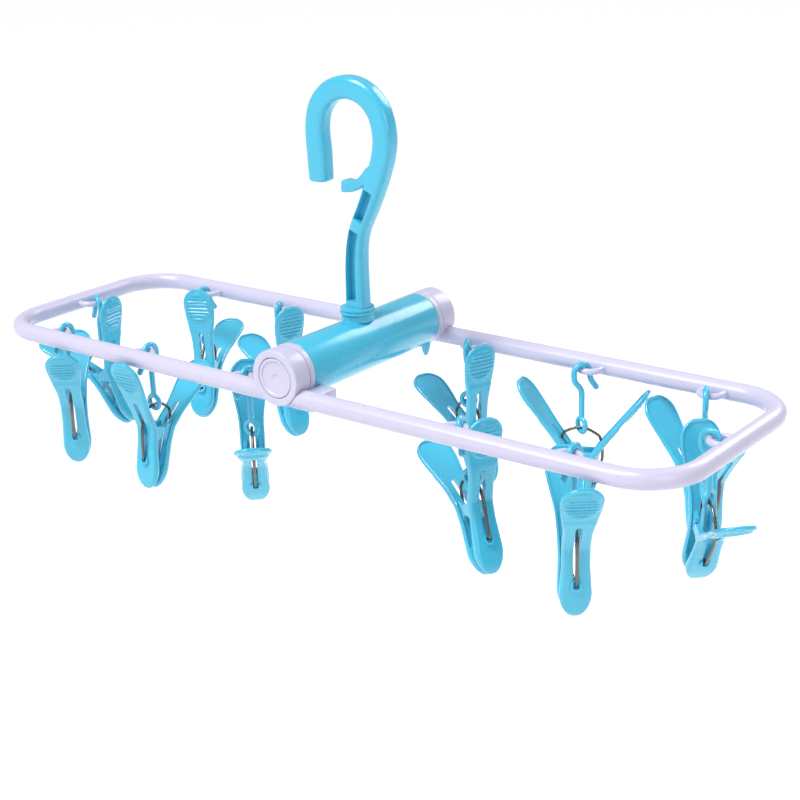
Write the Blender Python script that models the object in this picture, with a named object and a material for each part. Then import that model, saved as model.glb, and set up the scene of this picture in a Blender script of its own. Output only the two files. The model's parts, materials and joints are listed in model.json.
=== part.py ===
"""Clip drying hanger: two white U-shaped wings hinged on a blue hub tube, a swivelling hook on top,
and twelve blue clips that hang on small hooks from eyelets along the wings.

Lengths in this file are in millimetres and are scaled to metres when an object is made.
The working frame has its origin on the hub's centre line, at the height of the wings' tubes.
Everything hangs from one empty, which puts the point where the hook bears on a rail at the origin.
"""

from math import cos, pi, radians, sin, sqrt

import bmesh
import bpy
from mathutils import Matrix, Vector

MM = 0.001
GAP = 0.3                  # left between pieces that touch

# Wings: one moulding, used twice, the second turned half a turn
WING_REACH = 225.0         # hub centre line to the short bar's centre line
WING_HALF_WIDTH = 63.5     # to the centre line of a long arm
BEND_R = 28.0
BAR_R = 5.0
EYELET_R = 1.75            # radius of the eyelet's own rod
EYELET_HALF_WIDTH = 6.0    # to the rod's centre line
EYELET_REACH = 13.5        # bar centre line to the rod's centre line at the apex
CAP_ARM_EYELETS = (36.5, 112.0, 183.0)
RING_ARM_EYELETS = (104.0, 168.0)
SHOE_LENGTH = 24.0         # thick end of the arm that hugs the hub

# Hub
HUB_RISE = 10.0            # hub axis above the wings' plane
HUB_R = 15.0
HUB_WALL = 2.2
FOOT_INSET, FOOT_INSET_BY_BAR, FOOT_THICK = 0.6, 6.4, 2.8
HUB_HALF = 53.0
HUB_WEB = 2.5              # end walls that carry the axle
RING_OUT, RING_IN = 57.0, HUB_HALF + GAP
CAP_OUT, CAP_IN = 68.5, RING_OUT + GAP
PLUG_R = 10.6
RECESS_DEPTH = 4.4
PLUG_THICK = 2.0
AXLE_R = 3.0
AXLE_BORE_R = AXLE_R + 0.3
BOSS_R = 8.8
BOSS_TOP = HUB_RISE + HUB_R + 2.6

# Main hook: centre line (x, z) and width, from the tip over the top and down the stem
HOOK_THICK = 9.6
HOOK_LINE = (
    (-20.9, 98.6, 12.2), (-21.2, 112.0, 12.8), (-21.7, 126.0, 12.3), (-18.7, 137.2, 12.1),
    (-10.5, 145.4, 12.0), (0.7, 148.4, 12.0), (11.9, 145.4, 12.0), (20.1, 137.2, 12.0),
    (23.2, 126.0, 12.0), (22.4, 116.0, 11.8), (19.0, 105.5, 11.6), (14.9, 95.5, 11.2),
    (10.4, 86.0, 10.8), (4.9, 75.0, 10.5), (2.2, 65.0, 10.8), (1.1, 52.0, 11.8), (0.9, 30.0, 12.7),
)
SEAT = Vector((0.7, 0.0, 148.4 - 12.0 / 2))   # the rail bears here
FLANGE_R = 9.6
FLANGE_TOP = BOSS_TOP + GAP + 3.2
SHANK_R = 5.0
SHANK_END = HUB_RISE + AXLE_R + 2.0
RETAINER_R = 8.0
RETAINER_THICK = 1.8

# Small hook of a clip, in its own plane (x, z), from the eyelet's rod down
CLIP_HOOK_R = 1.6
CLIP_HOOK_BEND = 4.8
CLIP_HOOK_TOP = EYELET_R + GAP + CLIP_HOOK_R
EYE_DROP = 30.4            # eyelet rod to the centre of the small hook's lower eye
EYE_R = 3.95               # to the eye's own rod
EYE_ROD_R = 1.3

# Clip, about its fulcrum: +x is the way leg a spreads, +z is towards the handles
TIP = -33.0
WIRE_R = 0.8
BOW_R = 10.0
BOW_MID = 6.0              # the bow is a half circle about this height
MASS_MID = 3.7             # height of the clip's centre of mass
LEG_STATIONS = (           # x, z, half width, half thickness
    (1.35, TIP, 3.2, 0.9), (2.4, TIP + 2.6, 6.2, 1.7), (3.3, TIP + 8.0, 8.0, 2.4),
    (4.5, TIP + 16.0, 7.6, 2.3), (7.1, 0.0, 6.9, 2.0), (10.3, 6.4, 6.8, 2.0),
    (20.1, 19.6, 7.4, 1.7), (25.1, 26.2, 10.0, 1.5), (32.0, 35.3, 9.4, 1.4),
    (34.9, 39.2, 4.2, 0.9),
)
SLOT_LOW, SLOT_HIGH = TIP + 14.6, TIP + 49.5
SLOT_HALF = 1.6
LOBE_R = 3.0
LUG_OFFSET = 4.3           # lug plates stand this far each side of the wire
LUG_THICK = 2.2
WIRE_DROP = EYE_R - EYE_ROD_R - WIRE_R - 0.5   # the wire bears this far below the eye's centre

# One row for each clip: number, eyelet (x, y) over the hub's centre, heading of the small hook,
# heading and lean of the clip, all in degrees
SIDE = WING_HALF_WIDTH - EYELET_REACH
END = WING_REACH - EYELET_REACH
CLIPS = (
    ("01", (-183.0, -SIDE), -90, -48, -5),
    ("02", (-112.0, -SIDE), -90, -86, -15),
    ("03", (-36.5, -SIDE), -90, -46, 24),
    ("04", (-END, 0.0), 158, 8, -31),
    ("05", (-168.0, SIDE), 90, -66, -32),
    ("06", (-104.0, SIDE), 114, -20, -28),
    ("07", (36.5, SIDE), 114, -20, -29),
    ("08", (110.5, SIDE), 63, 17, 1),
    ("09", (183.0, SIDE), 116, -17, -4),
    ("10", (END, 0.0), 0, -45, 24),
    ("11", (168.0, -SIDE), -90, -50, -5),
    ("12", (104.1, -SIDE), -66, -26, -27.5),
)
PUSHED = {"12": 15.5}      # this clip's handle bears on the bar and holds its small hook inwards


WHITE = (0.86, 0.85, 0.93)
BLUE = (0.13, 0.60, 0.83)
STEEL = (0.62, 0.60, 0.56)


# ---------------------------------------------------------------- mesh tools

def rings_to_bmesh(rings, closed=False):
    """Skins equal rings of points in order; open skins get end caps."""
    bm = bmesh.new()
    loops = [[bm.verts.new(p) for p in ring] for ring in rings]
    count = len(loops[0])
    pairs = list(zip(loops, loops[1:]))
    if closed:
        pairs.append((loops[-1], loops[0]))
    for a, b in pairs:
        for i in range(count):
            j = (i + 1) % count
            bm.faces.new((a[i], a[j], b[j], b[i]))
    if not closed:
        bm.faces.new(loops[0][::-1])
        bm.faces.new(loops[-1])
    bmesh.ops.recalc_face_normals(bm, faces=bm.faces)
    return bm


def swept(points, radius, sides, side_dir, closed=False):
    """A round rod along a flat path; side_dir is the normal of the path's plane."""
    points = [Vector(p) for p in points]
    side_dir = Vector(side_dir).normalized()
    rings = []
    last = len(points) - 1
    for i, p in enumerate(points):
        before = points[i - 1] if i or closed else p
        after = points[(i + 1) % len(points)] if i < last or closed else p
        ahead = (after - before).normalized()
        across = ahead.cross(side_dir).normalized()
        turns = [2 * pi * (k + 0.5) / sides for k in range(sides)]
        rings.append([p + radius * (across * cos(t) + side_dir * sin(t)) for t in turns])
    return rings_to_bmesh(rings, closed)


def drum(y0, y1, radius, sides, x=0.0, z=0.0):
    """A cylinder along Y."""
    turns = [2 * pi * (k + 0.5) / sides for k in range(sides)]
    return rings_to_bmesh(
        [[(x + radius * cos(t), y, z + radius * sin(t)) for t in turns] for y in (y0, y1)]
    )


def post(z0, z1, radius, sides):
    """A cylinder along Z on the hook's swivel axis."""
    turns = [2 * pi * (k + 0.5) / sides for k in range(sides)]
    return rings_to_bmesh([[(radius * cos(t), radius * sin(t), z) for t in turns] for z in (z0, z1)])


def box(x0, x1, y0, y1, z0, z1):
    corners = ((x0, y0), (x1, y0), (x1, y1), (x0, y1))
    return rings_to_bmesh([[(x, y, z) for x, y in corners] for z in (z0, z1)])


def plate(outline, y0, y1):
    """A flat outline in x and z, extruded along Y."""
    return rings_to_bmesh([[(x, y, z) for x, z in outline] for y in (y0, y1)])


def arc(cx, cz, radius, start, end, steps):
    angles = [radians(start + (end - start) * i / steps) for i in range(steps + 1)]
    return [(cx + radius * cos(a), cz + radius * sin(a)) for a in angles]


def smooth_line(points, steps):
    """A Catmull-Rom curve through rows of numbers, with this many steps between rows."""
    rows = [Vector(p) for p in points]
    line = []
    for i in range(len(rows) - 1):
        a, b = rows[max(i - 1, 0)], rows[i]
        c, d = rows[i + 1], rows[min(i + 2, len(rows) - 1)]
        for k in range(steps):
            t = k / steps
            line.append(
                0.5 * (2 * b + (c - a) * t + (2 * a - 5 * b + 4 * c - d) * t * t
                       + (3 * b - a - 3 * c + d) * t ** 3)
            )
    line.append(rows[-1])
    return line


def to_object(bm, name):
    mesh = bpy.data.meshes.new(name)
    bm.to_mesh(mesh)
    bm.free()
    obj = bpy.data.objects.new(name, mesh)
    bpy.context.scene.collection.objects.link(obj)
    return obj


def fused(name, base, joins=(), cuts=()):
    """One mesh from a base solid with others joined to it and then cut from it."""
    body = to_object(base, name)
    steps = [(j, "UNION") for j in joins] + [(c, "DIFFERENCE") for c in cuts]
    helpers = []
    for number, (bm, operation) in enumerate(steps):
        helper = to_object(bm, f"{name}_tool_{number}")
        helpers.append(helper)
        modifier = body.modifiers.new(operation.lower(), "BOOLEAN")
        modifier.solver = "EXACT"
        modifier.operation = operation
        modifier.object = helper
    bpy.context.view_layer.update()
    evaluated = body.evaluated_get(bpy.context.evaluated_depsgraph_get())
    mesh = bpy.data.meshes.new_from_object(evaluated)
    for obj in [body, *helpers]:
        bpy.data.objects.remove(obj)
    bm = bmesh.new()
    bm.from_mesh(mesh)
    bmesh.ops.remove_doubles(bm, verts=bm.verts, dist=0.001)
    bm.to_mesh(mesh)
    bm.free()
    mesh.name = name
    return mesh


def material(name, colour, roughness, metallic=0.0):
    made = bpy.data.materials.new(name)
    made.use_nodes = True
    shader = made.node_tree.nodes["Principled BSDF"]
    shader.inputs["Base Color"].default_value = (*colour, 1.0)
    shader.inputs["Roughness"].default_value = roughness
    shader.inputs["Metallic"].default_value = metallic
    made.diffuse_color = (*colour, 1.0)
    return made


def place(name, mesh, finish, root, matrix=Matrix.Identity(4)):
    """An object that shows a millimetre mesh, placed by a millimetre matrix in the working frame."""
    if not mesh.materials:
        mesh.materials.append(finish)
    mesh.shade_smooth()
    mesh.set_sharp_from_angle(angle=radians(35))
    obj = bpy.data.objects.new(name, mesh)
    bpy.context.scene.collection.objects.link(obj)
    obj.parent = root
    spot, turn, _ = matrix.decompose()
    obj.location = spot
    obj.rotation_mode = "QUATERNION"
    obj.rotation_quaternion = turn
    return obj


# ---------------------------------------------------------------- wings and hub

def bar_path():
    """Centre line of a wing's bar: out along the cap arm, round, and back along the ring arm."""
    corner_x, corner_y = WING_REACH - BEND_R, WING_HALF_WIDTH - BEND_R
    path = [(0.0, WING_HALF_WIDTH)]
    path += arc(corner_x, corner_y, BEND_R, 90, 0, 7)
    path += arc(corner_x, -corner_y, BEND_R, 0, -90, 7)
    path.append((0.0, -WING_HALF_WIDTH))
    return [(x, y, 0.0) for x, y in path]


def eyelet(foot, inward):
    """A U-shaped loop whose two feet stand in the bar at foot, opening along the bar."""
    foot, inward = Vector((*foot, 0.0)), Vector((*inward, 0.0))
    along = Vector((-inward.y, inward.x, 0.0))
    straight = EYELET_REACH - EYELET_HALF_WIDTH
    path = [(-EYELET_HALF_WIDTH, 0.0)]
    path += [(-x, y) for x, y in arc(0, straight, EYELET_HALF_WIDTH, 0, 180, 6)]
    path.append((EYELET_HALF_WIDTH, 0.0))
    return swept([foot + along * a + inward * b for a, b in path], EYELET_R, 6, (0, 0, 1))


def wing_mesh():
    """The cap closes the hub's +Y end; the ring at the -Y end sits between the other cap and the hub."""
    half = WING_HALF_WIDTH
    eyelets = [eyelet((x, half), (0, -1)) for x in CAP_ARM_EYELETS]
    eyelets += [eyelet((x, -half), (0, 1)) for x in RING_ARM_EYELETS]
    eyelets.append(eyelet((WING_REACH, 0.0), (-1, 0)))
    cap = drum(CAP_IN, CAP_OUT, HUB_R, 24, z=HUB_RISE)
    ring = drum(-RING_OUT, -RING_IN, HUB_R, 28, z=HUB_RISE)
    shoe = box(4.0, SHOE_LENGTH, -half - BAR_R + 1.5, -HUB_HALF + 5.0, -BAR_R + 0.4, BAR_R - 1.4)
    far = CAP_OUT + 5
    cuts = [
        drum(-far, -CAP_IN, HUB_R + 0.4, 28, z=HUB_RISE),
        drum(-RING_IN, -HUB_HALF + 8, HUB_R + 0.4, 28, z=HUB_RISE),
        drum(-far, far, AXLE_BORE_R, 12, z=HUB_RISE),
        drum(CAP_OUT - RECESS_DEPTH, far, PLUG_R + GAP, 20, z=HUB_RISE),
    ]
    return fused("wing", swept(bar_path(), BAR_R, 12, (0, 0, 1)), [*eyelets, cap, shoe, ring], cuts)


def hub_mesh():
    """A tube with end walls for the axle, a boss for the hook on top and two feet under each end.

    The foot on the side where the bar reaches the hub stands further in, clear of that bar.
    """
    inner = HUB_R - HUB_WALL
    hollow = drum(-HUB_HALF + HUB_WEB, HUB_HALF - HUB_WEB, inner, 24, z=HUB_RISE)
    feet = []
    for end in (-1, 1):
        for side in (-1, 1):
            beside_bar = side * end < 0
            inset = FOOT_INSET_BY_BAR if beside_bar else FOOT_INSET
            y0, y1 = sorted((end * (HUB_HALF - inset), end * (HUB_HALF - inset - FOOT_THICK)))
            outline = [(side * x, z) for x, z in ((2.6, -1.0), (5.2, -10.2), (6.8, -10.2), (9.4, -1.0))]
            feet.append(plate(outline, y0, y1))
    boss = post(HUB_RISE + inner + 0.8, BOSS_TOP, BOSS_R, 20)
    cuts = [
        hollow,
        drum(-HUB_HALF - 1, HUB_HALF + 1, AXLE_BORE_R, 12, z=HUB_RISE),
        post(HUB_RISE + AXLE_R + 4, BOSS_TOP + 1, SHANK_R + GAP, 16),
    ]
    return fused("hub_tube", drum(-HUB_HALF, HUB_HALF, HUB_R, 28, z=HUB_RISE), [boss, *feet], cuts)


def axle_mesh():
    return fused("hinge_axle", drum(-64.5, 64.5, AXLE_R, 12, z=HUB_RISE))


def washer_mesh(end):
    """Push-on washer that keeps the axle in the cap, under the plug."""
    y0, y1 = sorted((end * 64.5, end * 65.9))
    inner, outer = sorted((end * (CAP_OUT - RECESS_DEPTH + GAP), end * 65.9))
    cup = drum(inner, outer, 6.0, 14, z=HUB_RISE)
    return fused("axle_washer", cup, cuts=[drum(y0 - 9, y1 + 9, AXLE_R + GAP, 12, z=HUB_RISE)])


def plug_mesh(end):
    """Cover disc in the cap's recess, with a shallow dished face."""
    y0, y1 = sorted((end * (CAP_OUT - PLUG_THICK - 0.3), end * (CAP_OUT - 0.3)))
    dish = sorted((end * (CAP_OUT - 1.0), end * (CAP_OUT + 2)))
    return fused("cap_plug", drum(y0, y1, PLUG_R, 24, z=HUB_RISE),
                 cuts=[drum(*dish, PLUG_R - 1.8, 24, z=HUB_RISE)])


# ---------------------------------------------------------------- main hook

def hook_sections(rows, across, depth):
    """Rounded rectangular sections square to the centre line; across and depth scale the section."""
    rings = []
    for i, row in enumerate(rows):
        before, after = rows[max(i - 1, 0)], rows[min(i + 1, len(rows) - 1)]
        run = Vector((after.x - before.x, 0.0, after.y - before.y)).normalized()
        side = Vector((run.z, 0.0, -run.x))
        w, t, c = row.z / 2 * across, HOOK_THICK / 2 * depth, 2.2
        corners = ((w, t - c), (w - c, t), (c - w, t), (-w, t - c),
                   (-w, c - t), (c - w, -t), (w - c, -t), (w, c - t))
        centre = Vector((row.x, 0.0, row.y))
        rings.append([centre + side * a + Vector((0, b, 0)) for a, b in corners])
    return rings


def groove(rows, face):
    """A long pocket in the front or the back of the stem, between its two ribs."""
    half, floor = 1.9, 1.6
    rings = []
    for i, row in enumerate(rows):
        before, after = rows[max(i - 1, 0)], rows[min(i + 1, len(rows) - 1)]
        run = Vector((after.x - before.x, 0.0, after.y - before.y)).normalized()
        side = Vector((run.z, 0.0, -run.x)) * half
        centre = Vector((row.x, 0.0, row.y)) + side * 0.35
        deep, out = Vector((0, face * floor, 0)), Vector((0, face * HOOK_THICK, 0))
        rings.append([centre + side + deep, centre + side + out, centre - side + out,
                      centre - side + deep])
    return rings_to_bmesh(rings)


def hook_mesh():
    rows = smooth_line(HOOK_LINE, 2)
    stem = [r for r in rows if r.y < 98 and r.x > -10]
    lower = [r for r in stem if 36 < r.y < 73]
    upper = [r for r in stem if 79 < r.y < 97]
    barb = [(-4.9, 100.6), (-4.9, 92.9), (-0.6, 93.0), (4.6, 95.2), (11.0, 99.5), (15.6, 106.0),
            (12.6, 108.5), (9.0, 103.2), (4.0, 99.9), (-1.2, 98.8), (-2.9, 99.3)]
    joins = [plate(barb, -HOOK_THICK / 2 + 0.5, HOOK_THICK / 2 - 0.5),
             post(BOSS_TOP + GAP, FLANGE_TOP, FLANGE_R, 20),
             post(SHANK_END, FLANGE_TOP - 1, SHANK_R, 16)]
    neck_low, neck_high = SHANK_END + 1.6, SHANK_END + 1.6 + RETAINER_THICK + 2 * GAP
    neck = fused_ring(neck_low, neck_high, SHANK_R - 1.2, SHANK_R + 2)
    cuts = [neck] + [groove(part, face) for part in (lower, upper) for face in (-1, 1)]
    return fused("hanging_hook", rings_to_bmesh(hook_sections(rows, 1, 1)), joins, cuts)


def fused_ring(z0, z1, inner, outer):
    """A square-section ring on the swivel axis, skinned as one closed loop of sections."""
    steps = 16
    rings = []
    for k in range(steps):
        t = 2 * pi * (k + 0.5) / steps
        rings.append([(r * cos(t), r * sin(t), z)
                      for r, z in ((inner, z0), (outer, z0), (outer, z1), (inner, z1))])
    return rings_to_bmesh(rings, closed=True)


def retainer_mesh():
    """Ring snapped into the shank's neck inside the hub; it keeps the hook from pulling out."""
    low = SHANK_END + 1.6 + GAP
    return fused("swivel_retainer", fused_ring(low, low + RETAINER_THICK, SHANK_R - 1.2 + GAP, RETAINER_R))


# ---------------------------------------------------------------- clips

def clip_hook_mesh():
    """Open hook over the eyelet, a straight shank, and a closed eye that stands across the hook."""
    mid = CLIP_HOOK_TOP - CLIP_HOOK_BEND
    path = [(8.8, -10.4), (6.1, -6.4), (5.0, -3.6)]
    path += arc(0, mid, CLIP_HOOK_BEND, 0, 180, 5)
    path += [(-4.2, -5.4), (-1.0, -9.6), (0.0, -12.8), (0.0, -EYE_DROP + EYE_R + 0.2)]
    shank = swept([(x, 0, z) for x, z in path], CLIP_HOOK_R, 5, (0, 1, 0))
    circle = arc(0, -EYE_DROP, EYE_R, 90, 90 + 360 * 8 / 9, 8)
    eye = swept([(0, y, z) for y, z in circle], EYE_ROD_R, 5, (1, 0, 0), closed=True)
    return fused("clip_hook", shank, [eye])


def leg_blade():
    """The leg as a lofted strip: rounded jaw, narrow waist, wide thumb pad."""
    rings = []
    for i, (x, z, half, thick) in enumerate(LEG_STATIONS):
        before, after = LEG_STATIONS[max(i - 1, 0)], LEG_STATIONS[min(i + 1, len(LEG_STATIONS) - 1)]
        run = Vector((after[0] - before[0], 0.0, after[1] - before[1])).normalized()
        out = Vector((run.z, 0.0, -run.x))
        edge, flat = thick * 0.4, half - thick * 0.6
        section = ((half, -edge), (half, edge), (flat, thick), (-flat, thick),
                   (-half, edge), (-half, -edge), (-flat, -thick), (flat, -thick))
        rings.append([Vector((x, 0, z)) + Vector((0, a, 0)) + out * b for a, b in section])
    return rings_to_bmesh(rings)


def slot_cutter():
    return box(-30, 60, -SLOT_HALF, SLOT_HALF, SLOT_LOW, SLOT_HIGH)


def leg_mesh(kind):
    """Leg a ends its lug plates in round lobes; leg b has hollow seats that turn on them."""
    if kind == "a":
        outline = [(6.2, -7.0), *arc(0, 0, LOBE_R, -80, -280, 4), (8.6, 3.4)]
    else:
        seat = arc(0, 0, LOBE_R + GAP, 50, -50, 3)
        outline = [(9.6, 5.0), (3.4, 4.4), *seat, (3.4, -4.4), (6.0, -7.6)]
    lugs = [plate(outline, s * LUG_OFFSET - LUG_THICK / 2, s * LUG_OFFSET + LUG_THICK / 2)
            for s in (-1, 1)]
    mesh = fused(f"clip_leg_{kind}", leg_blade(), lugs, [slot_cutter()])
    if kind == "b":
        mesh.transform(Matrix.Rotation(pi, 4, "Z"))
    return mesh


def spring_mesh():
    """Bow spring: its ends sit in the foot of each slot, it climbs outside the legs, comes in
    through the slots and arches over the fulcrum."""
    side = [(5.2, TIP + 16.8), (8.0, TIP + 17.2), (9.2, TIP + 21.0), (11.4, -1.6), (11.6, 2.8)]
    bow = arc(0, BOW_MID, BOW_R, 0, 180, 7)
    path = side + bow + [(-x, z) for x, z in reversed(side)]
    return fused("clip_spring", swept([(x, 0, z) for x, z in path], WIRE_R, 4, (0, 1, 0)))


def clip_frames(spot, hook_heading, heading, lean, pushed):
    """Where the small hook and the clip go. A leaning clip is held further round its bow, where its
    centre of mass is straight under the eye."""
    rod = Matrix.Translation((*spot, 0.0)) @ Matrix.Rotation(radians(pushed), 4, "X")
    lean = radians(lean)
    low = BOW_MID - MASS_MID
    reach = low * cos(lean) + sqrt(BOW_R ** 2 - (low * sin(lean)) ** 2)
    held = Vector((-reach * sin(lean), 0.0, MASS_MID + reach * cos(lean)))
    turn = Matrix.Rotation(radians(heading), 4, "Z") @ Matrix.Rotation(lean, 4, "Y")
    wire = rod @ Vector((0, 0, -EYE_DROP - WIRE_DROP))
    hook = rod @ Matrix.Rotation(radians(hook_heading), 4, "Z")
    return hook, Matrix.Translation(wire) @ turn @ Matrix.Translation(-held)


def main():
    for obj in list(bpy.data.objects):
        bpy.data.objects.remove(obj)
    white = material("white_plastic", WHITE, 0.42)
    blue = material("blue_plastic", BLUE, 0.30)
    steel = material("spring_steel", STEEL, 0.25, 1.0)
    root = bpy.data.objects.new("hanger", None)
    bpy.context.scene.collection.objects.link(root)
    root.scale = (MM, MM, MM)
    root.location = -SEAT * MM
    half_turn = Matrix.Rotation(pi, 4, "Z")

    wing = wing_mesh()
    place("wing_right", wing, white, root)
    place("wing_left", wing, white, root, half_turn)
    place("hub_tube", hub_mesh(), blue, root)
    place("hinge_axle", axle_mesh(), steel, root)
    for name, end in (("front", -1), ("back", 1)):
        place(f"axle_washer_{name}", washer_mesh(end), steel, root)
        place(f"cap_plug_{name}", plug_mesh(end), white, root)
    place("hanging_hook", hook_mesh(), blue, root)
    place("swivel_retainer", retainer_mesh(), white, root)

    hook, leg_a, leg_b, spring = clip_hook_mesh(), leg_mesh("a"), leg_mesh("b"), spring_mesh()
    for number, spot, hook_heading, heading, lean in CLIPS:
        pushed = PUSHED.get(number, 0.0)
        hook_at, clip_at = clip_frames(spot, hook_heading, heading, lean, pushed)
        place(f"clip_hook_{number}", hook, blue, root, hook_at)
        place(f"clip_leg_a_{number}", leg_a, blue, root, clip_at)
        place(f"clip_leg_b_{number}", leg_b, blue, root, clip_at)
        place(f"clip_spring_{number}", spring, steel, root, clip_at)
    bpy.context.view_layer.update()


main()
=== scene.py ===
"""Looks of the clip drying hanger: finely modelled wings, hub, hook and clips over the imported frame.

Meshes are built in millimetres in the part's working frame, whose origin is on the hub's centre line
at the height of the wings' tubes, and are moved into the row frame as they become objects.
"""

import json
from math import asin, atan2, cos, pi, radians, sin

import bmesh
import bpy
from mathutils import Matrix, Vector


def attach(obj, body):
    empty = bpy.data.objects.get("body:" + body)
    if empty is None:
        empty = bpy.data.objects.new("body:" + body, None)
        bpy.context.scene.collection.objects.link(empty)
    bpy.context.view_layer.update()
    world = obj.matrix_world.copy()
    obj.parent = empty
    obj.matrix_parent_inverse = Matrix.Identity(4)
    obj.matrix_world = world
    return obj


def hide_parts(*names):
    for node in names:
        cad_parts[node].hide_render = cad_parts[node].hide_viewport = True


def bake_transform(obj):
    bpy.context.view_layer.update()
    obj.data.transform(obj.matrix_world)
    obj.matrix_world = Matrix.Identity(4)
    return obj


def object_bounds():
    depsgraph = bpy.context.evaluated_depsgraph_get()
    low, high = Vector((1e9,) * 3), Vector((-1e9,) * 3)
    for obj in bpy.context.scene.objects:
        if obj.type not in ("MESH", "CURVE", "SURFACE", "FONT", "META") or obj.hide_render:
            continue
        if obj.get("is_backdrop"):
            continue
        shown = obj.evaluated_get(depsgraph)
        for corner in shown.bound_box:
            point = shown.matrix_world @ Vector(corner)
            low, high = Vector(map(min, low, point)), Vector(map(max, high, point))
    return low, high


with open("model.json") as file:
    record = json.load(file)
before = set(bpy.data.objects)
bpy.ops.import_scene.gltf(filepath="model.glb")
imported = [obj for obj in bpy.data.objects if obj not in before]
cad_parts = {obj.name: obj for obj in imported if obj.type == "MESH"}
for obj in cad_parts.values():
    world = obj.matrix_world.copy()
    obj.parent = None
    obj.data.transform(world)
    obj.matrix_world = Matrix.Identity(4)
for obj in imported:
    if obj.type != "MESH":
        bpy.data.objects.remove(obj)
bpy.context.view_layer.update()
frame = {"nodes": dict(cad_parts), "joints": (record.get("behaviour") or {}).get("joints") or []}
JOINTS = {joint["name"]: joint for joint in frame["joints"]}

# Sizes are in millimetres and angles in degrees unless a line says otherwise.
GAP = 0.3
WING_REACH, WING_HALF_WIDTH, BEND_R, BAR_R = 225.0, 63.5, 28.0, 5.0
EYELET_R, EYELET_HALF_WIDTH, EYELET_REACH = 1.75, 6.0, 13.5
CAP_ARM_EYELETS = (36.5, 112.0, 183.0)
RING_ARM_EYELETS = (104.0, 168.0)
HUB_RISE, HUB_R, HUB_HALF = 10.0, 15.0, 53.0
RING_OUT, RING_IN = 57.0, HUB_HALF + GAP
CAP_OUT, CAP_IN = 68.5, RING_OUT + GAP
CAP_RECESS = 4.4
PLUG_R, AXLE_R = 10.6, 3.0
HUB_WALL, HUB_END_WALL = 2.2, 2.5
WELL_FLOOR = 9.0           # bottom of the swivel's well, over the hub's centre line
FOOT_SPAN, FOOT_SPAN_BY_BAR = (2.3, 0.3), (9.2, 6.4)       # a foot's faces, in from the hub's end
FOOT_OUTLINE = ((2.6, -1), (3.8, -7), (5.2, -10.2), (6.8, -10.2), (8.2, -6.5), (9.4, -1))
BOSS_R, BOSS_TOP = 8.8, HUB_RISE + HUB_R + 2.6
HOOK_THICK, HOOK_CORNER = 9.6, 2.9
HOOK_LINE = (              # x, z and width from the tip over the bend and down the stem
    (-20.9, 98.6, 12.2), (-21.2, 112.0, 12.8), (-21.7, 126.0, 12.3), (-18.7, 137.2, 12.1),
    (-10.5, 145.4, 12.0), (0.7, 148.4, 12.0), (11.9, 145.4, 12.0), (20.1, 137.2, 12.0),
    (23.2, 126.0, 12.0), (22.4, 116.0, 11.8), (19.0, 105.5, 11.6), (14.9, 95.5, 11.2),
    (10.4, 86.0, 10.8), (4.9, 75.0, 10.5), (2.2, 65.0, 10.8), (1.1, 52.0, 11.8), (0.9, 30.0, 12.7),
)
BARB_LINE = (
    (-3.4, 96.9, 6.6), (-0.6, 96.8, 6.0), (3.4, 97.4, 5.4), (7.6, 99.4, 5.4), (11.6, 102.4, 6.0),
    (15.8, 106.6, 7.0),
)
POCKETS = ((33.8, 75.0, 4.3, 2.6), (79.0, 96.5, 3.7, 2.2))  # low, high, and reach to each side
POCKET_SPANS = ((-9.0, -0.4), (1.5, 9.0))                   # in y, leaving the web between them
FLANGE_R, FLANGE_TOP, SHANK_R = 9.6, BOSS_TOP + GAP + 3.2, 5.0
CLIP_HOOK_R, CLIP_HOOK_BEND, CLIP_HOOK_TOP = 1.6, 4.8, EYELET_R + GAP + 1.6
EYE_DROP, EYE_R, EYE_ROD_R = 30.4, 3.85, 1.4
TIP, WIRE_R, BOW_R, BOW_MID, MASS_MID = -33.0, 0.8, 10.0, 6.0, 3.7
LEG_LINE = (               # x, z and half thickness from the jaw's tip to the thumb pad's end
    (1.35, TIP, 1.3), (2.4, TIP + 2.6, 1.8), (3.3, TIP + 8.0, 2.4), (4.5, TIP + 16.0, 2.3),
    (7.1, 0.0, 2.0), (10.3, 6.4, 2.0), (20.1, 19.6, 1.7), (25.1, 26.2, 1.5), (32.0, 35.3, 1.4),
    (35.2, 39.6, 1.2),
)
JAW_R, JAW_TAPER, WAIST, PAD_HALF = 7.9, 12.5, 6.9, 10.0
PANEL_MID, PANEL_HALF_LENGTH, PANEL_HALF_WIDTH, PANEL_HEIGHT = 11.2, 9.8, 8.8, 0.6
PANEL_SINK, PANEL_FADE = 0.45, 3.0
RELIEF_STEEPNESS = 9       # how fast the panel and its ribs end at their oval outlines
RIB_PITCH, RIB_HEIGHT, RIB_REACH, RIB_CUT = 2.25, 0.65, 0.8, 0.4
DISH, DISH_RIM, DISH_START = 0.8, 1.05, 13.0
TOOTH_PITCH, TOOTH_HEIGHT, TEETH_RUN = 2.2, 0.25, 11.0
EDGE_STEPS = (0.0, 0.15, 0.45, 0.9, 1.15, 1.4, 1.9)
LEG_ACROSS = (0.72, 0.58, 0.4, 0.2)
LUG_OFFSET, LUG_THICK, LOBE_R = 4.3, 2.2, 3.0
SLOT_R, SLOT_LOW, SLOT_HIGH = 1.6, 16.2, 47.9              # ends' heights over the jaw's tip
COLLAR_R, COLLAR_SPAN = 2.8, (5.0, 8.0)                    # round the wire at the slot's low end
FLOOR_HALF, FLOOR_DROP = 60, 0.35                          # in metres
HOOK_TURNS = (-90, -90, -90, 158, 90, 114, 114, 63, 116, 0, -90, -66)

HUB = Vector(JOINTS["left_wing_fold"]["pos_m"]) * 1000
WORK = Matrix.Translation(HUB - Vector((0, 0, HUB_RISE)))


# ---------------------------------------------------------------- mesh tools

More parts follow.
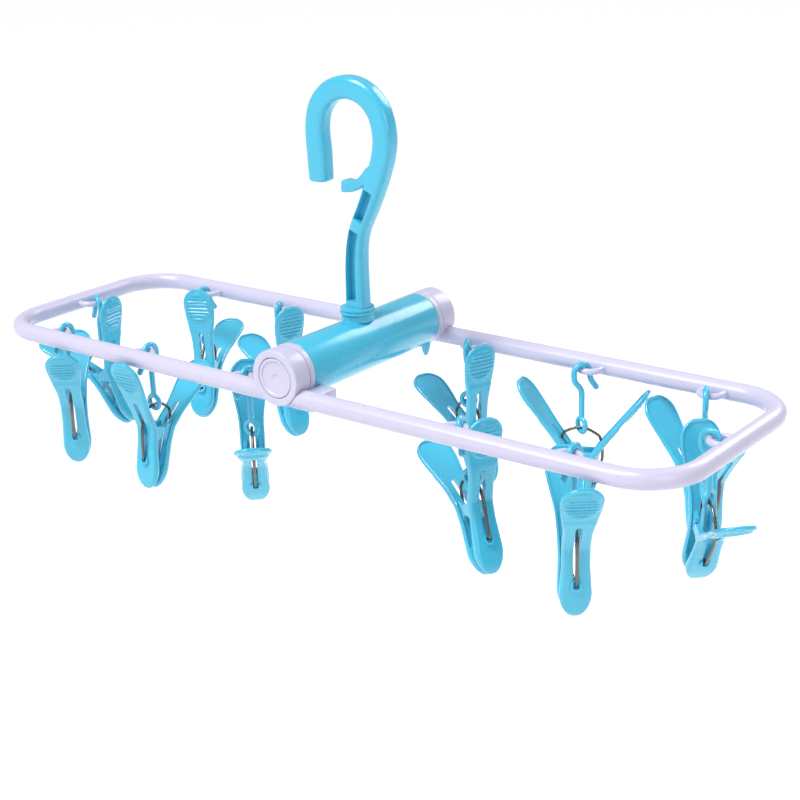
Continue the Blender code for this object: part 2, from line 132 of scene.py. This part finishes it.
def skin(rings, closed=False):
    """A closed mesh through rings of the same number of points, with its normals outwards."""
    bm = bmesh.new()
    loops = [[bm.verts.new(p) for p in ring] for ring in rings]
    count = len(loops[0])
    pairs = list(zip(loops, loops[1:])) + ([(loops[-1], loops[0])] if closed else [])
    for a, b in pairs:
        for i in range(count):
            j = (i + 1) % count
            bm.faces.new((a[i], a[j], b[j], b[i]))
    if not closed:
        bm.faces.new(loops[0][::-1])
        bm.faces.new(loops[-1])
    bmesh.ops.recalc_face_normals(bm, faces=bm.faces)
    if bm.calc_volume(signed=True) < 0:
        bmesh.ops.reverse_faces(bm, faces=bm.faces)
    return bm


def smooth_line(points, spacing):
    """A Catmull-Rom curve through rows of numbers, at about this spacing in the first two."""
    rows = [Vector(p) for p in points]
    total = len(rows)
    line = []
    for i in range(total - 1):
        a, b, c, d = rows[max(i - 1, 0)], rows[i], rows[i + 1], rows[min(i + 2, total - 1)]
        steps = max(1, round((c - b).xy.length / spacing))
        for k in range(steps):
            t = k / steps
            line.append(
                0.5 * (2 * b + (c - a) * t + (2 * a - 5 * b + 4 * c - d) * t * t
                       + (3 * b - a - 3 * c + d) * t ** 3)
            )
    return [*line, rows[-1]]


def rod(points, radius, sides, normal, closed=False, round_ends=True):
    """A round rod along a flat path with domed ends; normal is square to the path's plane."""
    points = [Vector(p) for p in points]
    normal = Vector(normal)
    rings = []
    last = len(points) - 1
    domes = [] if closed or not round_ends else [0.25, 0.6, 0.85, 0.97]

    def ring(centre, ahead, r):
        across = ahead.cross(normal).normalized()
        turns = [2 * pi * k / sides for k in range(sides)]
        return [centre + r * (across * cos(t) + normal * sin(t)) for t in turns]

    for i, p in enumerate(points):
        before = points[i - 1] if i or closed else p
        after = points[(i + 1) % len(points)] if i < last or closed else p
        ahead = (after - before).normalized()
        if i == 0 and domes:
            for d in domes:
                rings.append(ring(p - ahead * radius * (1 - d ** 2) ** 0.5, ahead, radius * d))
        rings.append(ring(p, ahead, radius))
        if i == last and domes:
            for d in reversed(domes):
                rings.append(ring(p + ahead * radius * (1 - d ** 2) ** 0.5, ahead, radius * d))
    return skin(rings, closed)


def circle(radius, sides):
    turns = [2 * pi * k / sides for k in range(sides)]
    return [(radius * cos(t), radius * sin(t)) for t in turns]


def arc(cx, cz, radius, start, end, steps):
    angles = [radians(start + (end - start) * i / steps) for i in range(steps + 1)]
    return [(cx + radius * cos(a), cz + radius * sin(a)) for a in angles]


def eased(outline, radius, steps=4):
    """The same closed outline with each corner rounded off."""
    result = []
    count = len(outline)
    for i in range(count):
        a, b, c = (Vector(outline[(i + k) % count]) for k in (-1, 0, 1))
        r = min(radius, 0.48 * (a - b).length, 0.48 * (c - b).length)
        p, q = b + (a - b).normalized() * r, b + (c - b).normalized() * r
        for k in range(steps + 1):
            t = k / steps
            result.append(tuple(p * (1 - t) ** 2 + 2 * b * t * (1 - t) + q * t ** 2))
    return result


def lathe(profile, sides, axis="Y"):
    """Turns a closed outline of (radius, height) about the hub axis (Y) or the swivel axis (Z)."""
    rings = []
    for k in range(sides):
        t = 2 * pi * k / sides
        if axis == "Y":
            rings.append([(r * cos(t), h, HUB_RISE + r * sin(t)) for r, h in profile])
        else:
            rings.append([(r * cos(t), r * sin(t), h) for r, h in profile])
    return skin(rings, closed=True)


def drum(y0, y1, radius, sides=64):
    """A plain cylinder about the hub's centre line."""
    return skin([[(a, y, HUB_RISE + b) for a, b in circle(radius, sides)] for y in (y0, y1)])


def prism(outline, y0, y1):
    """An outline in x and z made into a plate along Y with sharp edges."""
    return skin([[(x, y, z) for x, z in outline] for y in (y0, y1)])


def stations(rows):
    """Each row of a line with the directions along and across it, and its third number."""
    for i, row in enumerate(rows):
        before, after = rows[max(i - 1, 0)], rows[min(i + 1, len(rows) - 1)]
        run = Vector((after.x - before.x, 0, after.y - before.y)).normalized()
        yield Vector((row.x, 0, row.y)), run, Vector((run.z, 0, -run.x)), row.z


def slab(outline, y0, y1, edge=0.5):
    """An outline in x and z made into a plate along Y with eased edges."""
    count = len(outline)
    area = sum(outline[i - 1][0] * outline[i][1] - outline[i][0] * outline[i - 1][1]
               for i in range(count))
    inward = 1 if area > 0 else -1
    rings = []
    for y, inset in ((y0, edge), (y0 + edge * 0.3, edge * 0.3), (y0 + edge, 0), (y1 - edge, 0),
                     (y1 - edge * 0.3, edge * 0.3), (y1, edge)):
        ring = []
        for i, p in enumerate(outline):
            a, c = Vector(outline[i - 1]), Vector(outline[(i + 1) % count])
            run = (c - a).normalized() * inward * inset
            q = Vector(p) + Vector((-run.y, run.x))
            ring.append((q.x, y, q.y))
        rings.append(ring)
    return skin(rings)


def to_object(bm, name):
    """A new object from a bmesh, which is freed."""
    mesh = bpy.data.meshes.new(name)
    bm.to_mesh(mesh)
    bm.free()
    obj = bpy.data.objects.new(name, mesh)
    bpy.context.scene.collection.objects.link(obj)
    return obj


def fused(name, base, joins=(), cuts=()):
    """One mesh from a base solid with others joined to it and then cut from it."""
    body = to_object(base, name + "_base")
    helpers = []
    for operation, group in (("UNION", joins), ("DIFFERENCE", cuts)):
        for bm in group:
            helper = to_object(bm, f"{name}_tool_{len(helpers)}")
            helpers.append(helper)
            modifier = body.modifiers.new(operation.lower(), "BOOLEAN")
            modifier.solver = "EXACT"
            modifier.operation = operation
            modifier.object = helper
    bpy.context.view_layer.update()
    evaluated = body.evaluated_get(bpy.context.evaluated_depsgraph_get())
    mesh = bpy.data.meshes.new_from_object(evaluated)
    for obj in [body, *helpers]:
        bpy.data.objects.remove(obj)
    mesh.name = name
    return mesh


def piece(name, mesh, finish, body, nodes, matrix=Matrix.Identity(4), sharp=38):
    """An object in the row frame from a copy of a millimetre mesh, riding on a body."""
    mesh = mesh.copy()
    mesh.transform(Matrix.Scale(0.001, 4) @ matrix)
    mesh.materials.clear()
    mesh.materials.append(finish)
    mesh.shade_smooth()
    mesh.set_sharp_from_angle(angle=radians(sharp))
    obj = bpy.data.objects.new(name, mesh)
    bpy.context.scene.collection.objects.link(obj)
    if body:
        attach(obj, body)
    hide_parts(*nodes)
    return obj


# ---------------------------------------------------------------- materials

def make_material(name, colour, roughness, metallic=0.0, coat=0.0, grain=0.02, grain_scale=900.0,
                  soft=0.0):
    """Principled material with mottled colour and roughness, a fine skin texture and a painted
    highlight on convex edges.
    """
    made = bpy.data.materials.new(name)
    made.use_nodes = True
    nodes, links = made.node_tree.nodes, made.node_tree.links
    shader = nodes["Principled BSDF"]
    place = nodes.new("ShaderNodeTexCoord")

    def noise(scale, detail):
        node = nodes.new("ShaderNodeTexNoise")
        node.inputs["Scale"].default_value = scale
        node.inputs["Detail"].default_value = detail
        links.new(place.outputs["Object"], node.inputs["Vector"])
        return node.outputs["Fac"]

    def ramp(source, low, high, a, b):
        node = nodes.new("ShaderNodeMapRange")
        for key, value in (("From Min", low), ("From Max", high), ("To Min", a), ("To Max", b)):
            node.inputs[key].default_value = value
        links.new(source, node.inputs["Value"])
        return node.outputs["Result"]

    def blend(factor, a, b):
        node = nodes.new("ShaderNodeMix")
        node.data_type = "RGBA"
        links.new(factor, node.inputs["Factor"])
        for socket, value in ((node.inputs["A"], a), (node.inputs["B"], b)):
            if isinstance(value, tuple):
                socket.default_value = (*value, 1.0)
            else:
                links.new(value, socket)
        return node.outputs["Result"]

    deep = tuple(c * 0.975 for c in colour)
    # pale is the colour of the painted highlight laid on convex edges below
    pale = tuple(min(1.0, c * 1.04 + 0.01) for c in colour)
    mottled = blend(ramp(noise(60.0, 3.0), 0.35, 0.65, 0.0, 1.0), deep, colour)
    # Painted highlight: sharp convex edges (high pointiness) are blended towards the paler colour
    geometry = nodes.new("ShaderNodeNewGeometry")
    edge = ramp(geometry.outputs["Pointiness"], 0.53, 0.64, 0.0, 0.35)
    links.new(blend(edge, mottled, pale), shader.inputs["Base Color"])
    links.new(ramp(noise(140.0, 4.0), 0.3, 0.7, roughness - 0.03, roughness + 0.05),
              shader.inputs["Roughness"])
    shader.inputs["Metallic"].default_value = metallic
    shader.inputs["Coat Weight"].default_value = coat
    shader.inputs["Coat Roughness"].default_value = 0.12
    if soft:
        shader.inputs["Subsurface Weight"].default_value = soft
        shader.inputs["Subsurface Radius"].default_value = (0.9, 0.9, 1.0)
        shader.inputs["Subsurface Scale"].default_value = 0.0015
    bump = nodes.new("ShaderNodeBump")
    bump.inputs["Strength"].default_value = grain
    bump.inputs["Distance"].default_value = 0.0004
    links.new(noise(grain_scale, 2.0), bump.inputs["Height"])
    links.new(bump.outputs["Normal"], shader.inputs["Normal"])
    return made


WHITE = make_material("white_polypropylene", (0.545, 0.525, 0.69), 0.30, coat=0.2, grain=0.06,
                      soft=0.08)
BLUE = make_material("blue_polypropylene", (0.055, 0.465, 0.67), 0.24, coat=0.4, grain=0.04,
                     soft=0.05)
STEEL = make_material("spring_wire", (0.16, 0.15, 0.135), 0.22, metallic=1.0, grain=0.12,
                      grain_scale=2500.0)


# ---------------------------------------------------------------- wings and hub

def wing_mesh():
    """The right wing: bar, eyelets, end cap, hinge ring and the shoe between bar and ring."""
    half = WING_HALF_WIDTH
    corner_x, corner_y = WING_REACH - BEND_R, half - BEND_R
    path = [(0.0, half), *arc(corner_x, corner_y, BEND_R, 90, 0, 18),
            *arc(corner_x, -corner_y, BEND_R, 0, -90, 18), (0.0, -half)]
    bar = rod([(x, y, 0) for x, y in path], BAR_R, 32, (0, 0, 1), round_ends=False)

    def eyelet(foot, inward):
        foot, inward = Vector((*foot, 0)), Vector((*inward, 0))
        along = Vector((-inward.y, inward.x, 0))
        straight = EYELET_REACH - EYELET_HALF_WIDTH
        line = [(-EYELET_HALF_WIDTH, 0.0)]
        line += [(-x, y) for x, y in arc(0, straight, EYELET_HALF_WIDTH, 0, 180, 20)]
        line.append((EYELET_HALF_WIDTH, 0.0))
        return rod([foot + along * a + inward * b for a, b in line], EYELET_R, 16, (0, 0, 1),
                   round_ends=False)

    eyelets = [eyelet((x, half), (0, -1)) for x in CAP_ARM_EYELETS]
    eyelets += [eyelet((x, -half), (0, 1)) for x in RING_ARM_EYELETS]
    eyelets.append(eyelet((WING_REACH, 0.0), (-1, 0)))
    bore, lip = AXLE_R + GAP, PLUG_R + GAP
    recess = CAP_OUT - CAP_RECESS
    cap = lathe(eased([(bore, CAP_IN), (HUB_R, CAP_IN), (HUB_R, CAP_OUT), (lip, CAP_OUT),
                       (lip, recess), (bore, recess)], 0.8), 72)
    ring = lathe(eased([(bore, -RING_OUT), (HUB_R, -RING_OUT), (HUB_R, -RING_IN), (bore, -RING_IN)],
                       0.5), 72)
    shoe_line = eased([(4, -BAR_R + 0.4), (24, -BAR_R + 0.4), (24, BAR_R - 1.4), (4, BAR_R - 1.4)],
                      1.2)
    shoe = slab(shoe_line, -half - BAR_R + 1.5, -HUB_HALF + 5.0)
    far = CAP_OUT + 5
    cuts = [drum(-far, -CAP_IN, HUB_R + 0.4), drum(-RING_IN, -HUB_HALF + 8, HUB_R + 0.4),
            drum(-far, far, bore - 0.01, 32), drum(recess, far, lip - 0.01)]
    return fused("wing", bar, [*eyelets, cap, shoe, ring], cuts)


def plug_mesh(end):
    """The disc in an end cap's recess, facing the back (1) or the front (-1)."""
    rim, dish = CAP_OUT - 0.3, CAP_OUT - 1.0
    profile = [(0.01, CAP_OUT - 2.3), (PLUG_R, CAP_OUT - 2.3), (PLUG_R, rim), (PLUG_R - 1.4, rim),
               (PLUG_R - 1.9, dish), (2.2, dish), (1.7, dish - 0.5), (0.01, dish - 0.5)]
    mesh = fused("plug", lathe(eased(profile, 0.25, 3), 72))
    if end < 0:
        mesh.transform(Matrix.Rotation(pi, 4, "Z"))
    return mesh


def feet_mesh():
    """Two plates under each end of the hub, the one beside a wing's bar standing further in."""
    feet, spare = bmesh.new(), bpy.data.meshes.new("foot")
    for end in (-1, 1):
        for side in (-1, 1):
            span = FOOT_SPAN_BY_BAR if side * end < 0 else FOOT_SPAN
            y0, y1 = sorted(end * (HUB_HALF - inset) for inset in span)
            plate = slab(eased([(side * x, z) for x, z in FOOT_OUTLINE], 0.9), y0, y1, 0.4)
            plate.to_mesh(spare)
            plate.free()
            feet.from_mesh(spare)
    bpy.data.meshes.remove(spare)
    return feet


def hub_mesh():
    """The tube with its end walls and boss. The feet are separate shells that overlap the tube."""
    bore, inner = AXLE_R + GAP, HUB_R - HUB_WALL
    end, inner_end = HUB_HALF, HUB_HALF - HUB_END_WALL
    shell = lathe(eased([(bore, -end), (HUB_R, -end), (HUB_R, end), (bore, end), (bore, inner_end),
                         (inner, inner_end), (inner, -inner_end), (bore, -inner_end)], 0.6, 3), 96)
    boss_low = HUB_RISE + inner + 0.8
    boss = lathe(eased([(SHANK_R + GAP, boss_low), (BOSS_R, boss_low), (BOSS_R, BOSS_TOP),
                        (SHANK_R + GAP, BOSS_TOP)], 0.5, 3), 64, "Z")
    well_low, well_high = HUB_RISE + WELL_FLOOR, BOSS_TOP + 1
    well = lathe([(0.001, well_low), (SHANK_R + GAP, well_low), (SHANK_R + GAP, well_high),
                  (0.001, well_high)], 48, "Z")
    hub = fused("hub", shell, [boss], [well])
    whole = feet_mesh()
    whole.from_mesh(hub)
    whole.to_mesh(hub)
    whole.free()
    return hub


# ---------------------------------------------------------------- main hook

def rounded_section(half, depth, corner, steps=5):
    """Points (across, y) round a rectangle of this half width and half depth."""
    quarter = [radians(90 * k / steps) for k in range(steps + 1)]
    points = []
    for sx, sy, flip in ((1, 1, 0), (-1, 1, 1), (-1, -1, 0), (1, -1, 1)):
        angles = reversed(quarter) if flip else quarter
        points += [(sx * (half - corner + corner * cos(a)), sy * (depth - corner + corner * sin(a)))
                   for a in angles]
    return points


def bent_bar(frames, depth, corner):
    """A rounded bar along a line's stations, its first end domed a little."""
    tip, run, side, width = frames[0]
    rings = []
    for out, shrink in ((1.5, 0.62), (1.2, 0.80), (0.7, 0.92), (0.3, 0.98)):
        rings.append([tip - run * out + side * a * shrink + Vector((0, b * shrink, 0))
                      for a, b in rounded_section(width / 2, depth, corner)])
    for centre, _, side, width in frames:
        rings.append([centre + side * a + Vector((0, b, 0))
                      for a, b in rounded_section(width / 2, depth, corner)])
    return skin(rings)


def hook_mesh():
    """The bent hook with its barb, grooved flange and shank, and the pockets in its stem."""
    frames = list(stations(smooth_line(HOOK_LINE, 1.6)))
    barb = bent_bar(list(stations(smooth_line(BARB_LINE, 1.2))), HOOK_THICK / 2 - 0.5, 1.2)
    low, neck, rim = BOSS_TOP + GAP, FLANGE_R - 0.9, FLANGE_R - 0.4
    flange = lathe(eased([(0.01, low), (FLANGE_R, low), (FLANGE_R, low + 1.1), (neck, low + 1.3),
                          (neck, low + 1.8), (rim, low + 2.0), (rim, FLANGE_TOP),
                          (0.01, FLANGE_TOP)], 0.2, 2), 64, "Z")
    shank_top = FLANGE_TOP - 1
    shank = lathe([(0.01, 15), (SHANK_R, 15), (SHANK_R, shank_top), (0.01, shank_top)], 48, "Z")
    cuts = []
    for bottom, top, left, right in POCKETS:
        part = [f for f in frames if bottom < f[0].z < top and f[0].x > -10]
        edge = [centre + side * left for centre, _, side, _ in part]
        edge += [centre - side * right for centre, _, side, _ in reversed(part)]
        outline = eased([(p.x, p.z) for p in edge], 0.4, 2)
        cuts += [prism(outline, *span) for span in POCKET_SPANS]
    return fused("hook", bent_bar(frames, HOOK_THICK / 2, HOOK_CORNER), [barb, flange, shank], cuts)


# ---------------------------------------------------------------- clips

def clip_hook_mesh():
    """The small hook over an eyelet, with the closed eye at its foot."""
    mid = CLIP_HOOK_TOP - CLIP_HOOK_BEND
    path = [(8.8, -10.4), (6.1, -6.4), (5.0, -3.6), *arc(0, mid, CLIP_HOOK_BEND, 0, 180, 8),
            (-4.2, -5.4), (-1.0, -9.6), (0.0, -12.8), (0.0, -18.0), (0.0, -EYE_DROP + EYE_R + 0.2)]
    line = smooth_line([(x, z, 0) for x, z in path], 0.9)
    shank = rod([(p.x, 0, p.y) for p in line], CLIP_HOOK_R, 14, (0, 1, 0))
    eye = rod([(0, y, z) for y, z in arc(0, -EYE_DROP, EYE_R, 0, 351, 39)], EYE_ROD_R, 14,
              (1, 0, 0), closed=True)
    return fused("clip_hook", shank, [eye])


def rise(x):
    """Eases from 0 to 1 as x does."""
    x = min(1.0, max(0.0, x))
    return x * x * (3 - 2 * x)


def outer_relief(a, left):
    """The thumb pad's raised panel and its ribs, at this distance across and from the pad's end."""
    reach = ((left - PANEL_MID) / PANEL_HALF_LENGTH) ** 2 + (a / PANEL_HALF_WIDTH) ** 2
    wave = max(0.0, sin(2 * pi * left / RIB_PITCH)) - RIB_CUT
    ribs = rise((RIB_REACH - reach) * RELIEF_STEEPNESS) * wave
    lowered = PANEL_SINK * rise((PANEL_MID * 2 + PANEL_FADE - left) / PANEL_FADE)
    return PANEL_HEIGHT * rise((1 - reach) * RELIEF_STEEPNESS) + RIB_HEIGHT * ribs - lowered


def inner_relief(a, half, s, left):
    """The hollow between the rims of the leg's inner face and the fine teeth of its jaw."""
    side = half - abs(a)
    hollow = rise((side - DISH_RIM) / 0.35) * rise((left - DISH_RIM) / 0.5)
    hollow *= rise((s - DISH_START) / 2)
    teeth = (s < TEETH_RUN) * max(0.0, sin(2 * pi * s / TOOTH_PITCH)) * rise(side - 0.5)
    return -DISH * hollow - TOOTH_HEIGHT * teeth


def leg_section(half, thick, s, left):
    """Points (across, out) round the leg at this run from its jaw's tip."""
    edge = min(0.9 * thick, 0.6 * half)
    across = [half - step * min(1.0, half / WAIST) for step in EDGE_STEPS]
    across += [half * f for f in LEG_ACROSS]
    points = []
    for face in (1, -1):
        for place in [*across, 0.0, *(-a for a in reversed(across))]:
            a = place * face
            lack = max(0.0, edge - half + abs(a))
            b = thick - edge + max(0.0, edge ** 2 - lack ** 2) ** 0.5
            b += outer_relief(a, left) if face > 0 else inner_relief(a, half, s, left)
            points.append((a, face * b))
    return points


def leg_half_width(s, left):
    """Half the leg's width at this run from its jaw's tip, with this much left to the pad's end."""
    half = JAW_R + (WAIST - JAW_R) * min(1, max(0, (s - 12) / 14))
    half += (PAD_HALF - WAIST) * rise((37 - left) / 27)
    if s < JAW_TAPER:
        half = min(half, JAW_R * (1 - ((JAW_TAPER - s - 0.4) / JAW_TAPER) ** 2) ** 0.5)
    if left < PAD_HALF:
        half = min(half, (PAD_HALF ** 2 - (PAD_HALF - left - 0.6) ** 2) ** 0.5)
    return half


def leg_mesh(kind):
    """Leg a carries the lobes of the fulcrum, and leg b, turned to face it, the seats round them."""
    line = smooth_line(LEG_LINE, 0.42)
    run_length = [0.0]
    for a, b in zip(line, line[1:]):
        run_length.append(run_length[-1] + (b - a).xy.length)
    rings = []
    for (centre, _, out, thick), s in zip(stations(line), run_length):
        left = run_length[-1] - s
        rings.append([centre + Vector((0, a, 0)) + out * b
                      for a, b in leg_section(leg_half_width(s, left), thick, s, left)])
    if kind == "a":
        outline = [(6.2, -7.0), *arc(0, 0, LOBE_R, -80, -280, 16), (8.6, 3.4)]
    else:
        seat = arc(0, 0, LOBE_R + GAP, 50, -50, 12)
        outline = [(9.6, 5.0), (3.4, 4.4), *seat, (3.4, -4.4), (6.0, -7.6)]
    lugs = [prism(outline, side * LUG_OFFSET - LUG_THICK / 2, side * LUG_OFFSET + LUG_THICK / 2)
            for side in (-1, 1)]
    low, high = TIP + SLOT_LOW, TIP + SLOT_HIGH
    collar = skin([[(x, a, low + b) for a, b in circle(COLLAR_R, 28)] for x in COLLAR_SPAN])
    slot = [*arc(0, high, SLOT_R, 0, 180, 10), *arc(0, low, SLOT_R, 180, 360, 10)]
    cut = skin([[(x, y, z) for y, z in slot] for x in (-30.0, 60.0)])
    mesh = fused("leg_" + kind, skin(rings), [*lugs, collar], [cut])
    if kind == "b":
        mesh.transform(Matrix.Rotation(pi, 4, "Z"))
    return mesh


def spring_mesh():
    """The bow spring: one wire up each leg's outside, bent in to a roof where the eye holds it."""
    side = [(5.2, TIP + 16.8), (8.0, TIP + 17.2), (9.2, TIP + 21.0), (11.4, -1.6), (11.6, 2.8),
            (11.3, 7.0), (10.0, 11.4), (8.4, 13.0), (4.0, 15.1)]
    path = [*side, (0.0, BOW_MID + BOW_R), *((-x, z) for x, z in reversed(side))]
    line = smooth_line([(x, z, 0) for x, z in path], 0.9)
    return fused("spring", rod([(p.x, 0, p.y) for p in line], WIRE_R, 12, (0, 1, 0)))


def clip_matrix(number):
    """The clip's frame, from its jaw joint and the point where its bow hangs in the eye."""
    jaw, swing = JOINTS[f"clip_{number}_jaw"], JOINTS[f"clip_{number}_swing"]
    fulcrum, eye = Vector(jaw["pos_m"]) * 1000, Vector(swing["pos_m"]) * 1000
    heading = atan2(-jaw["axis"][0], jaw["axis"][1])
    off = (eye - fulcrum).dot(Vector((cos(heading), sin(heading), 0)))
    lean = asin(max(-1, min(1, off / MASS_MID)))
    turn = Matrix.Rotation(heading, 4, "Z") @ Matrix.Rotation(lean, 4, "Y")
    return Matrix.Translation(fulcrum) @ turn


# ---------------------------------------------------------------- assembly and studio

def build():
    """Every piece but the bow springs on its body, the springs baked in place; the small hooks and
    clips are placed from their joints.
    """
    wing = wing_mesh()
    piece("wing_right_skin", wing, WHITE, "right_wing", ["wing_right"], WORK)
    half_turn = Matrix.Rotation(pi, 4, "Z")
    piece("wing_left_skin", wing, WHITE, "left_wing", ["wing_left"], WORK @ half_turn)
    piece("hub_skin", hub_mesh(), BLUE, "hub", ["hub_tube"], WORK)
    piece("cap_front_disc", plug_mesh(-1), WHITE, "left_wing", ["cap_plug_front"], WORK)
    piece("cap_back_disc", plug_mesh(1), WHITE, "right_wing", ["cap_plug_back"], WORK)
    piece("hook_skin", hook_mesh(), BLUE, "hook", ["hanging_hook"], WORK)
    for name in ("hinge_axle", "axle_washer_front", "axle_washer_back"):
        frame["nodes"][name].material_slots[0].material = STEEL
    frame["nodes"]["swivel_retainer"].material_slots[0].material = WHITE

    hook, leg_a, leg_b, spring = clip_hook_mesh(), leg_mesh("a"), leg_mesh("b"), spring_mesh()
    for index, turn in enumerate(HOOK_TURNS):
        number = f"{index + 1:02d}"
        rod_at = Vector(JOINTS[f"hook_{number}_swing"]["pos_m"]) * 1000
        eye_at = Vector(JOINTS[f"clip_{number}_swing"]["pos_m"]) * 1000
        pushed = Vector((0, 0, -1)).rotation_difference(eye_at - rod_at).to_matrix().to_4x4()
        hang = Matrix.Translation(rod_at) @ pushed @ Matrix.Rotation(radians(turn), 4, "Z")
        clip = clip_matrix(number)
        piece(f"small_hook_{number}", hook, BLUE, f"drop_hook_{number}",
              [f"clip_hook_{number}"], hang)
        piece(f"leg_a_{number}", leg_a, BLUE, f"clip_{number}", [f"clip_leg_a_{number}"], clip)
        piece(f"leg_b_{number}", leg_b, BLUE, f"leg_{number}", [f"clip_leg_b_{number}"], clip)
        wire = piece(f"bow_spring_{number}", spring, STEEL, None, [f"clip_spring_{number}"], clip)
        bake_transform(wire)


def look(obj, target):
    """Points a lamp's own -Z at a place."""
    obj.rotation_euler = (Vector(target) - obj.location).to_track_quat("-Z", "Y").to_euler()


def light(name, where, size, power, target=(0, 0, -0.12)):
    data = bpy.data.lights.new(name, "AREA")
    data.shape = "DISK"
    data.size = size
    data.energy = power
    obj = bpy.data.objects.new(name, data)
    obj.location = where
    bpy.context.scene.collection.objects.link(obj)
    look(obj, target)


def make_camera():
    """The photograph's view, fitted to the edges of the frame in it."""
    lens = bpy.data.cameras.new("camera")
    lens.lens, lens.sensor_width = 70.82, 36.0
    lens.clip_start = 0.05
    camera = bpy.data.objects.new("camera", lens)
    yaw, pitch, roll = 0.6729, 0.3485, -0.0355
    ahead = Vector((-sin(yaw) * cos(pitch), cos(yaw) * cos(pitch), -sin(pitch)))
    flat = ahead.cross(Vector((0, 0, 1))).normalized()
    lift = flat.cross(ahead)
    right = flat * cos(roll) + lift * sin(roll)
    up = lift * cos(roll) - flat * sin(roll)
    turn = Matrix((right, up, -ahead)).transposed().to_4x4()
    camera.matrix_world = Matrix.Translation((0.52311, -0.62326, 0.12978)) @ turn
    bpy.context.scene.collection.objects.link(camera)
    bpy.context.scene.camera = camera


def make_floor():
    """A wide pale floor, far enough below the part to take no sharp shadow."""
    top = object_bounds()[0][2] - FLOOR_DROP
    corners = [(x * FLOOR_HALF, y * FLOOR_HALF) for x, y in ((-1, -1), (1, -1), (1, 1), (-1, 1))]
    floor = to_object(skin([[(x, y, top - d) for x, y in corners] for d in (0.01, 0)]), "floor")
    pale = bpy.data.materials.new("floor_paint")
    pale.use_nodes = True
    paint = pale.node_tree.nodes["Principled BSDF"].inputs
    paint["Base Color"].default_value = (0.95, 0.95, 0.95, 1)
    paint["Roughness"].default_value = 0.9
    floor.data.materials.append(pale)
    floor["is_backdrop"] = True


def studio():
    make_camera()
    world = bpy.data.worlds.new("studio")
    world.use_nodes = True
    background = world.node_tree.nodes["Background"].inputs
    background["Color"].default_value = (1.0, 1.0, 1.0, 1.0)
    background["Strength"].default_value = 0.42
    bpy.context.scene.world = world
    make_floor()

    light("key", (-0.7, -1.2, 1.1), 0.5, 10)
    light("fill", (1.4, -0.6, 0.5), 0.9, 5)
    light("back", (0.3, 1.4, 0.9), 0.9, 11)
    daylight = bpy.data.lights.new("daylight", "SUN")
    daylight.energy, daylight.angle = 2.3, radians(25)
    sun = bpy.data.objects.new("daylight", daylight)
    sun.location = (-0.25, -0.5, 1.1)
    bpy.context.scene.collection.objects.link(sun)
    look(sun, (0, 0, 0))
    bpy.context.scene.view_settings.view_transform = "Standard"


build()
studio()
